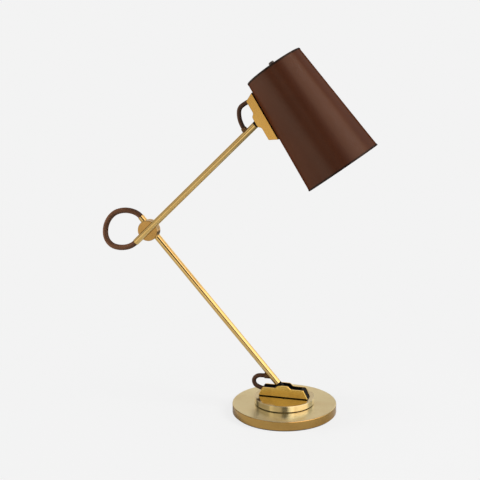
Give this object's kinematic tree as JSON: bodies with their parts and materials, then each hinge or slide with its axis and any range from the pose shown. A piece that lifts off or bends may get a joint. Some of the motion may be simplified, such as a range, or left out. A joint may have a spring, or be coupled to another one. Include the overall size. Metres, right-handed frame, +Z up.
{
  "type": "swing arm desk lamp",
  "caption": "Desk lamp with a round swivelling base, two jointed tube arms, a tilting conical leather shade, cord loops past its pivots and a turn switch on the shade's top.",
  "frame": {"origin": "middle of the base's underside, on the felt, where the lamp stands", "axes": "+Z up, +X from the base towards the shade, arms swing in planes parallel to XZ"},
  "size_m": [0.4023, 0.1512, 0.5219],
  "materials": {
    "felt": "wool felt",
    "polished_brass": "fine brushed and lacquered",
    "satin_brass": "satin lacquered",
    "black_steel": "black oxide, satin",
    "bright_steel": "zinc plated",
    "nylon": "fibre-filled nylon",
    "rubber": "moulded",
    "leather": "smooth waxed",
    "edge_binding": "burnished edge",
    "cord": "smooth leather sleeve",
    "white_enamel": "white enamel",
    "black_phenolic": "moulded phenolic",
    "opal_glass": "opal"
  },
  "bodies": {
    "base": {"base_felt_pad": "felt", "base_plate": "polished_brass", "swivel_nipple": "bright_steel", "swivel_nut": "bright_steel", "swivel_lock_washer": "bright_steel", "swivel_thrust_washer": "nylon", "swivel_stop_pin": "bright_steel", "cord_grommet": "rubber"},
    "turntable": {"turntable": "polished_brass", "swivel_disc_spring": "bright_steel", "base_clevis": "black_steel", "base_cheek_front": "satin_brass", "base_cheek_rear": "satin_brass", "base_cheek_dowels": "bright_steel", "base_clevis_screws": "bright_steel", "base_pivot_pin": "bright_steel", "base_pivot_washers": "nylon", "base_cord_loop": "cord"},
    "lower_arm": {"lower_arm_tube": "satin_brass", "lower_arm_eye": "black_steel", "lower_cord_bush": "satin_brass", "elbow_rear_disc": "satin_brass", "elbow_rivet": "bright_steel", "elbow_friction_washer": "nylon", "elbow_cord_loop": "cord"},
    "upper_arm": {"upper_arm_tube": "satin_brass", "upper_arm_eye": "black_steel", "upper_cord_bush": "satin_brass", "elbow_front_disc": "satin_brass", "head_cord_loop": "cord"},
    "head": {"head_clevis": "black_steel", "head_cheek_front": "satin_brass", "head_cheek_rear": "satin_brass", "head_cheek_dowels": "bright_steel", "head_clevis_screws": "bright_steel", "head_clevis_nuts": "bright_steel", "head_backing_plate": "bright_steel", "head_pivot_pin": "bright_steel", "head_pivot_washers": "nylon", "shade_shell": "white_enamel", "shade_leather": "leather", "shade_top_trim": "edge_binding", "shade_bottom_trim": "edge_binding", "shade_top_cap": "black_steel", "lampholder_nipple": "bright_steel", "lampholder_nut": "bright_steel", "lampholder_cap": "black_phenolic", "lampholder_body": "black_phenolic", "lampholder_contact": "satin_brass", "bulb_cap": "satin_brass", "bulb_glass": "opal_glass"},
    "switch": {"switch_knob": "black_phenolic", "switch_shaft": "bright_steel"}
  },
  "joints": [
    {"name": "base_swivel", "type": "hinge", "parent": "base", "child": "turntable", "pos_m": [0, 0, 0.0246], "axis": [0, 0, 1], "range_deg": [-160, 160]},
    {"name": "lower_arm_tilt", "type": "hinge", "parent": "turntable", "child": "lower_arm", "pos_m": [0, 0, 0.0326], "axis": [0, 1, 0], "range_deg": [-19, 45], "deforming": ["base_cord_loop"]},
    {"name": "elbow_bend", "type": "hinge", "parent": "lower_arm", "child": "upper_arm", "pos_m": [-0.19919, -0.0074, 0.26093], "axis": [0, 1, 0], "range_deg": [-55, 38], "deforming": ["elbow_cord_loop"]},
    {"name": "head_tilt", "type": "hinge", "parent": "upper_arm", "child": "head", "pos_m": [-0.02625, -0.0148, 0.42735], "axis": [0, 1, 0], "range_deg": [-60, 15], "deforming": ["head_cord_loop"]},
    {"name": "switch_turn", "type": "hinge", "parent": "head", "child": "switch", "pos_m": [-0.01037, -0.0148, 0.4974], "axis": [0.5821, 0, -0.8131], "range_deg": [0, 90]}
  ]
}
